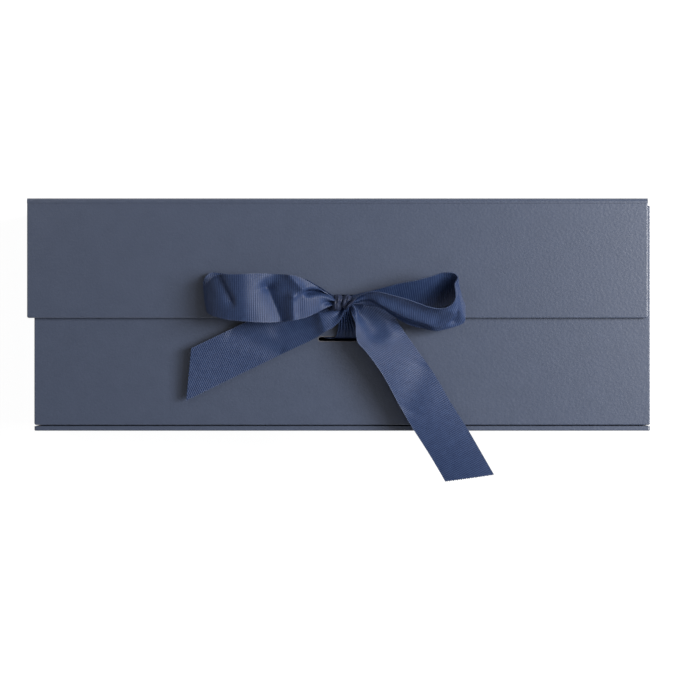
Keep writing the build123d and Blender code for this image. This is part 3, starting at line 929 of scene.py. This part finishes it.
@dataclass(frozen=True)
class KnotLobe:
    """One bulge of the knot: a rounded body with creases pressed into it.

    Its long axis lies flat and is turned by yaw degrees from the box's length. Of the creases,
    round_turns run lengthwise and along_turns run round it, so the two together slant. crease is
    their depth and swell the size of a slow unevenness, both as shares of the radius. The higher
    blunt is, the blunter are the ends, and the lower narrow is, the narrower are the creases.
    map_spread is how far the bulge reaches over the flat ribbon, either way from its middle.
    """

    name: str
    middle: Point
    half: Point
    yaw: float
    round_turns: float
    along_turns: float
    crease: float = 0.14
    blunt: float = 2.6
    narrow: float = 0.55
    swell: float = 0.03
    rows: int = 64
    columns: int = 96
    map_spread: float = 0.45

    def surface(self) -> tuple[np.ndarray, np.ndarray]:
        """Work out the bulge's surface.

        A ring of radius 1 round the long axis shrinks to nothing at both ends as a superellipse
        does. Creases are the narrow minima of the size of a sine of the slanted phase. The
        result is stretched to the bulge's sizes and turned.

        Returns:
            The grid of points and each point's place on the flat ribbon.
        """
        turn = np.linspace(0, math.tau, self.columns, endpoint=False)[None, :]
        width = np.sin(np.linspace(-math.pi / 2, math.pi / 2, self.rows))[:, None]
        belly = (1 - np.abs(width) ** self.blunt) ** (1 / self.blunt)
        phase = self.round_turns * turn + self.along_turns * width
        crease = 1 - np.abs(np.sin(phase + 0.4 * np.sin(turn) + 0.3 * width)) ** self.narrow
        swell = np.sin(3 * turn + 5 * width) + 2 / 3 * np.sin(2 * turn - 7 * width)
        radius = belly * (1 - self.crease * crease * belly + self.swell * swell)
        length = self.half[0] * width * np.ones_like(turn)
        side = self.half[1] * radius * np.cos(turn)
        cosine, sine = math.cos(math.radians(self.yaw)), math.sin(math.radians(self.yaw))
        grid = np.stack([self.middle[0] + length * cosine - side * sine,
                         self.middle[1] + length * sine + side * cosine,
                         FLAP_OUTER + self.middle[2] + self.half[2] * radius * np.sin(turn)],
                        axis=-1)
        flat = np.stack(np.broadcast_arrays(turn * self.half[2] / RIBBON_WIDTH,
                                            0.5 + self.map_spread * width), axis=-1)
        return grid, flat

    def build(self) -> bpy.types.Object:
        """Make the bulge: the grid without its end rings, and a fan of triangles at each end.

        Returns:
            The object.
        """
        grid, flat = self.surface()
        inner = grid[1:-1]
        rows, columns = inner.shape[:2]
        faces = grid_faces(rows, columns, closed=True)[:, ::-1].tolist()
        ring = np.arange(columns)
        after = np.roll(ring, -1)
        first_end, last_row = rows * columns, (rows - 1) * columns
        faces += np.stack([np.full(columns, first_end), after, ring], axis=1).tolist()
        faces += np.stack([after + last_row, np.full(columns, first_end + 1), ring + last_row],
                          axis=1).tolist()
        ends = np.stack([grid[0].mean(axis=0), grid[-1].mean(axis=0)])
        flats = np.concatenate([flat[1:-1].reshape(-1, 2),
                                [[0, 0.5 - self.map_spread], [0, 0.5 + self.map_spread]]])
        return write_mesh(self.name, np.concatenate([inner.reshape(-1, 3), ends]), faces,
                          flats, crease_angle=70)


KNOT_LOBES = (
    KnotLobe("bow_knot_wrap", (-2.4, 6.3, 8.9), (4.5, 3.2, 4.7), 78.0, 4.5, 0.9),
    KnotLobe("bow_knot_shoulder", (2.2, 6.9, 9.2), (3.9, 3.0, 5.0), 58.0, 4.0, 1.4, 0.12),
    KnotLobe("bow_knot_band", (4.7, 6.0, 10.6), (4.2, 0.9, 5.6), 45.0, 0.5, 0.3, 0.03, 3.4),
)


@dataclass
class Bow:
    """The tied ribbon: two loops, two tails, a knot and the strands that feed it."""

    finishes: Finishes
    lobes: tuple[KnotLobe, ...] = KNOT_LOBES
    runs: tuple[RibbonRun, ...] = RIBBON_RUNS

    def knot(self) -> None:
        """Build the knot's bulges and its band."""
        for lobe in self.lobes:
            piece = lobe.build()
            # The knot wears the darker copy of the ribbon, a painted shade
            self.finishes.dress(piece, Finish.KNOT_IN_PAINTED_SHADE, slot=Finish.RIBBON)
            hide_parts("bow_knot")
            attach(piece, "flap")
            log.info("%s built", lobe.name)

    def lay(self, run: RibbonRun) -> None:
        """Build one run of ribbon, hide the solid it stands for and hang it on its body.

        Args:
            run: the run.
        """
        piece = run.build()
        length = run.sheet_length()
        self.finishes.dress(piece, Finish.RIBBON)
        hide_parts(run.node)
        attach(piece, run.body)
        log.info("%s: %.0f mm of ribbon", run.name, length)

    def build(self) -> None:
        """Build the whole bow."""
        self.knot()
        for run in self.runs:
            self.lay(run)


@dataclass(frozen=True)
class Bend:
    """A paper round a straight fold between two panels.

    origin is the middle of the fold's corner, first and second are the directions of its two
    panels, and along is that of the fold itself. held says how far from the corner each of two
    bodies would hold the paper; a paper that has it only stays fixed in place. A paper with one
    body rides on it.
    """

    name: str
    node: str
    finish: Finish
    bodies: tuple[str, ...]
    origin: np.ndarray
    first: np.ndarray
    second: np.ndarray
    along: np.ndarray
    half_length: float
    thickness: float
    held: tuple[np.ndarray, ...] = ()


@dataclass
class CasePapers:
    """The papers and tapes that bend at the box's folds.

    Radii are those of a paper's middle line, and overlap is how far a paper goes on past the edge
    of a panel. tape_grip is how far from its fold a tape would be held, and only marks the tape as
    fixed in place. crease_gap is how far from the crease a half wall starts, dip how deep the
    paper sinks there, and dip_width how wide.
    """

    finishes: Finishes
    half_width: float = 167.75
    half_height: float = 63.25
    lid_half_width: float = 168.6
    lid_shift: float = -2.6
    paper: float = 0.25
    overlap: float = 0.1
    fold_radius: float = 1.3
    flap_fold_radius: float = 1.5
    wall_bottom: float = -60.1
    wall_top: float = 59.4
    side_inner: float = 165.0
    front_inner: float = 97.25
    tape: float = 0.15
    tape_width: float = 12.0
    tape_radius: float = 0.3
    tape_end_inset: float = 4.0
    tape_grip: float = 0.6
    tab_top: float = -58.9
    tab_tape_half_width: float = 106.0
    crease_z: float = 50.0
    crease_gap: float = 1.0
    dip: float = 0.22
    dip_width: float = 0.35

    def lay(self, bend: Bend, profile: np.ndarray) -> None:
        """Carry a bent profile along a fold, hide the solid it stands for, and leave it in place
        or hang it on its body.

        A point is the corner plus the profile's two parts along the two panels plus its place
        along the fold.

        Args:
            bend: the paper and its fold.
            profile: the bend's middle line, one row per point, along the two panels.
        """
        places = np.linspace(-bend.half_length, bend.half_length, 61)
        line = bend.origin + profile[:, :1] * bend.first + profile[:, 1:] * bend.second
        grid = line[:, None, :] + places[None, :, None] * bend.along
        piece = thick_sheet(bend.name, grid, np.full(grid.shape[:2], bend.thickness))
        self.finishes.dress(piece, bend.finish)
        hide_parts(bend.node)
        if bend.held:
            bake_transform(piece)
        else:
            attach(piece, bend.bodies[0])
        log.info("%s laid on %s", bend.name, " and ".join(bend.bodies))

    def corner_profile(self, leg: float, radius: float, inset: float) -> np.ndarray:
        """The line of a paper round a corner: a leg, a quarter circle and a leg.

        Args:
            leg: how far each leg reaches from the corner.
            radius: the radius of the bend.
            inset: how far the line lies inside the corner's two faces.

        Returns:
            The line's points.
        """
        turn = np.linspace(0, math.pi / 2, 15)
        bend = radius * (1 - np.stack([np.sin(turn), np.cos(turn)], axis=1)) + inset
        reach = np.linspace(leg, radius + inset, 7)[:-1]
        first_leg = np.stack([reach, np.full_like(reach, inset)], axis=1)
        return np.concatenate([first_leg, bend, first_leg[::-1, ::-1]])

    def case_folds(self) -> None:
        """Lay the doubled papers round the three folds of the case."""
        x, y, z = np.eye(3)
        top = np.array((0, self.half_height, 0))
        outer = np.array((self.lid_shift, self.half_height, FLAP_OUTER))
        folds = [
            ("lid", top, -y, z, self.half_width, ("back", "lid"), self.fold_radius),
            ("base", -top, y, z, self.half_width, ("back", "base"), self.fold_radius),
            ("flap", outer, -z, -y, self.lid_half_width, ("lid", "flap"), self.flap_fold_radius),
        ]
        for name, origin, first, second, half_length, bodies, radius in folds:
            bend = Bend(f"{name}_fold_bend", f"{name}_fold_paper", Finish.COVER_PAPER, bodies,
                        origin, first, second, x, half_length, 2 * self.paper,
                        (PANEL * first, PANEL * second))
            self.lay(bend, self.corner_profile(PANEL + self.overlap, radius, self.paper))

    def corner_tapes(self) -> None:
        """Lay the tapes inside the four upright corners and at the tab.

        The tape of the right front corner is in two parts, as that corner's linkage is open.
        """
        x, y, z = np.eye(3)
        middle = (self.wall_bottom + self.wall_top) / 2
        half = (self.wall_top - self.wall_bottom) / 2 - self.tape_end_inset
        rear = np.array((self.side_inner, middle, PANEL))
        front = np.array((self.side_inner, middle, self.front_inner))
        tab = np.array((0, self.tab_top, self.front_inner))
        leftward = np.array((-1, 1, 1))
        corners = [
            ("left_rear", rear * leftward, x, z, y, half, ("back", "left_rear")),
            ("right_rear", rear, -x, z, y, half, ("back", "right_rear")),
            ("left_front", front * leftward, x, -z, y, half, ("front", "left_front")),
            ("tab", tab, y, -z, x, self.tab_tape_half_width, ("front", "tab")),
        ]
        profile = self.corner_profile(self.tape_width, self.tape_radius, self.tape / 2)
        for name, origin, first, second, along, half_length, bodies in corners:
            self.lay(Bend(f"{name}_tape", f"{name}_hinge_tape", Finish.HINGE_TAPE, bodies, origin,
                          first, second, along, half_length, self.tape,
                          (self.tape_grip * first, self.tape_grip * second)), profile)
        reach = np.linspace(self.overlap, self.tape_width, 9)
        leg = np.stack([reach, np.full_like(reach, self.tape / 2)], axis=1)
        for name, first, second, body in (("wall", -x, -z, "front"),
                                          ("side", -z, -x, "right_front")):
            self.lay(Bend(f"right_front_tape_{name}", "right_front_hinge_tape",
                          Finish.HINGE_TAPE, (body,), front, first, second, y, half, self.tape),
                     leg)

    def crease_papers(self) -> None:
        """Lay the papers over the centre creases of the side walls.

        Their profile is flat and sinks in the middle as a bell does.
        """
        x, y, z = np.eye(3)
        middle = (self.wall_bottom + self.wall_top) / 2
        half = (self.wall_top - self.wall_bottom) / 2
        gap = self.crease_gap
        reach = np.linspace(-gap - self.overlap, gap + self.overlap, 21)
        sunk = self.paper + self.dip * np.exp(-(reach / self.dip_width) ** 2)
        profile = np.stack([reach, sunk], axis=1)
        for name, sign in (("left", -1), ("right", 1)):
            origin = np.array((sign * self.half_width, middle, self.crease_z))
            self.lay(Bend(f"{name}_crease", f"{name}_crease_paper", Finish.COVER_PAPER,
                          (f"{name}_rear", f"{name}_front"), origin, z, -sign * x, y, half,
                          2 * self.paper, (-gap * z, gap * z)), profile)

    def build(self) -> None:
        """Build all bending papers."""
        self.case_folds()
        self.corner_tapes()
        self.crease_papers()


@dataclass
class Panels:
    """The boards, covers and linings that keep their solids, and the rim of the front's slot.

    The rim's middle lies rim_gap outside the slot and rim_lift above the front's outer face.
    """

    finishes: Finishes
    slot_half_length: float = 13.0
    slot_half_width: float = 1.25
    rim_gap: float = 0.1
    rim_half_width: float = 0.26
    rim_half_height: float = 0.1
    rim_lift: float = 0.01

    def finish_of(self, name: str) -> Finish | None:
        """Choose the finish that goes with the ending of a solid's name.

        Args:
            name: the solid's name.

        Returns:
            The finish, or nothing for a solid that a piece of this file replaces.
        """
        endings = {
            "_cover": Finish.COVER_PAPER,
            "_lining": Finish.LINING_PAPER,
            "_board": Finish.GREYBOARD,
            "_magnets": Finish.MAGNET,
            "_steel_discs": Finish.STEEL_DISC,
            "tab_card": Finish.TAB_CARD,
            "tab_adhesive_tape": Finish.ADHESIVE_TAPE,
        }
        return next((endings[ending] for ending in endings if name.endswith(ending)), None)

    def slot_rim(self) -> None:
        """Lay the pale cut edge of the paper round the slot in the front wall.

        The rim's middle runs round the slot's outline: a half circle at each end, moved apart
        by the straight part. Its section is a flat oval.
        """
        turn = np.linspace(0, math.tau, 96, endpoint=False)[:, None]
        section = np.linspace(0, math.tau, 10, endpoint=False)[None, :]
        reach = self.slot_half_width + self.rim_gap + self.rim_half_width * np.cos(section)
        straight = (self.slot_half_length - self.slot_half_width) * np.sign(np.cos(turn))
        height = self.rim_lift + self.rim_half_height * np.sin(section)
        points = np.stack([reach * np.cos(turn) + straight,
                           FRONT_SLOT_Y + reach * np.sin(turn),
                           DEPTH + height * np.ones_like(turn)], axis=-1)
        number = np.arange(points[..., 0].size).reshape(points.shape[:2])
        along, around = np.roll(number, -1, axis=0), np.roll(number, -1, axis=1)
        faces = np.stack([number, along, np.roll(along, -1, axis=1), around], axis=-1)
        rim = write_mesh("front_slot_rim", points.reshape(-1, 3), faces.reshape(-1, 4).tolist())
        self.finishes.dress(rim, Finish.PAPER_EDGE, slot=Finish.COVER_PAPER)
        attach(rim, "front")
        log.info("slot rim laid")

    def build(self, nodes: dict[str, bpy.types.Object]) -> None:
        """Lay the rim and give each solid that stays its finish.

        Args:
            nodes: the frame's solids by name.
        """
        self.slot_rim()
        for name, piece in nodes.items():
            finish = self.finish_of(name)
            if finish is not None:
                for slot in piece.material_slots:
                    slot.material = self.finishes.materials[finish]
                log.info("%s: %s", name, finish.value.name)


@dataclass(frozen=True)
class Lamp:
    """A square soft lamp that faces the middle of the front, its power in watts."""

    name: str
    place: Point
    size: float
    power: float
    colour: Point

    def build(self) -> None:
        """Add the lamp.

        The turn that takes its beam, minus Z, to its aim is the quaternion of one plus the dot
        product of the two directions and of their cross product, made a unit.
        """
        light = bpy.data.lights.new(self.name, "AREA")
        light.size = self.size * MM
        light.energy = self.power
        light.color = self.colour
        lamp = bpy.data.objects.new(self.name, light)
        lamp.location = [value * MM for value in self.place]
        aim = np.array((0.0, 0.0, DEPTH)) - np.array(self.place)
        forward = aim / np.linalg.norm(aim)
        turn = np.cross((0, 0, -1), forward)
        lamp.rotation_mode = "QUATERNION"
        lamp.rotation_quaternion = np.concatenate([[1 - forward[2]], turn])
        lamp.rotation_quaternion.normalize()
        bpy.context.scene.collection.objects.link(lamp)


@dataclass
class Studio:
    """The camera, lamps, world and floor."""

    distance: float = 1200.0
    view_width: float = 680 * 0.543
    view_centre: tuple[float, float] = (-1.2, -13.8)
    lamps: tuple[Lamp, ...] = (
        Lamp("key", (830.0, 105.0, 770.0), 430.0, 11.2, (1.0, 0.985, 0.96)),
        Lamp("fill", (0.0, -500.0, 900.0), 800.0, 0.2, (0.97, 0.985, 1.0)),
        Lamp("side", (-460.0, 380.0, 1000.0), 360.0, 0.7, (1.0, 0.985, 0.98)),
        Lamp("gloss", (640.0, 170.0, 1150.0), 240.0, 3.0, (1.0, 0.985, 0.97)),
    )
    world_strength: float = 0.06
    ceiling_strength: float = 0.19
    floor_half: float = 4000.0
    floor_z: float = -0.5
    floor_grey: float = 0.86
    floor_glow: float = 1.36
    floor_glow_share: float = 0.7

    def camera(self) -> None:
        """Look straight down on the front, with a lens that spans the view's width."""
        camera = bpy.data.cameras.new("camera")
        camera.type = "PERSP"
        camera.sensor_width = 36.0
        camera.lens = camera.sensor_width * self.distance / self.view_width
        camera.clip_start = 0.05
        camera.clip_end = 20.0
        viewer = bpy.data.objects.new("camera", camera)
        viewer.location = (self.view_centre[0] * MM, self.view_centre[1] * MM,
                           (FLAP_OUTER + self.distance) * MM)
        bpy.context.scene.collection.objects.link(viewer)
        bpy.context.scene.camera = viewer

    def world(self) -> None:
        """Add a white surround with a dark ceiling, which lights the box softly.

        It shows as plain white. In reflections it is white at the sides, dims with height, and
        stays white up to near the zenith on the side of the key lamp.
        """
        world = bpy.data.worlds.new("surround")
        bpy.context.scene.world = world
        world.use_nodes = True
        nodes = Nodes(world.node_tree)
        upward = nodes.add("ShaderNodeTexCoord").outputs["Generated"]
        direction = nodes.add("ShaderNodeSeparateXYZ", {"Vector": upward})
        fades = [nodes.add("ShaderNodeMapRange",
                           {"Value": direction.outputs[axis], "From Min": dark,
                            "From Max": white, "To Min": self.ceiling_strength, "To Max": 1.0},
                           interpolation_type="SMOOTHSTEP").outputs["Result"]
                 for axis, dark, white in (("Z", 0.8, 0.3), ("X", 0.1, 0.4))]
        mirrored = nodes.calculate("MULTIPLY", nodes.calculate("MAXIMUM", *fades),
                                   nodes.rays("Is Glossy Ray", "Is Transmission Ray"))
        seen = nodes.calculate("MAXIMUM", mirrored, nodes.rays("Is Camera Ray"))
        nodes.fill(world.node_tree.nodes["Background"], {
            "Color": WHITE, "Strength": nodes.calculate("MAXIMUM", seen, self.world_strength)})

    def floor(self) -> None:
        """Add a white floor that keeps a light shadow of the box.

        Rays that see it get a share of white glow, and the rest is lit as paper is.
        """
        half = self.floor_half
        corners = np.array([(-half, -half), (half, -half), (half, half), (-half, half)])
        floor = write_mesh("floor", np.insert(corners, 2, self.floor_z, axis=1), [[0, 1, 2, 3]])
        shader = Shader("floor_white")
        shader.finish(Base_Color=(self.floor_grey, self.floor_grey, self.floor_grey, 1),
                      Roughness=0.9, Specular_IOR_Level=0.1)
        glow = shader.add("ShaderNodeEmission", {"Strength": self.floor_glow})
        seen = shader.rays("Is Camera Ray", "Is Glossy Ray", "Is Transmission Ray")
        mix = shader.add("ShaderNodeMixShader", {
            "Fac": shader.calculate("MULTIPLY", seen, self.floor_glow_share),
            1: shader.principled.outputs["BSDF"], 2: glow.outputs["Emission"]})
        shader.fill(shader.output, {"Surface": mix.outputs["Shader"]})
        floor.data.materials.append(shader.material)

    def build(self) -> None:
        """Set up the studio."""
        self.camera()
        self.world()
        self.floor()
        for lamp in self.lamps:
            lamp.build()
        bpy.context.scene.view_settings.view_transform = "Standard"
        log.info("studio set up with %d lamps", len(self.lamps))


def main() -> None:
    """Build the box's looks in order and report each part."""
    logging.basicConfig(level=logging.INFO, format="%(name)s: %(message)s")
    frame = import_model()
    finishes = Finishes()
    Panels(finishes).build(frame["nodes"])
    CasePapers(finishes).build()
    Bow(finishes).build()
    Studio().build()


if __name__ == "__main__":
    main()
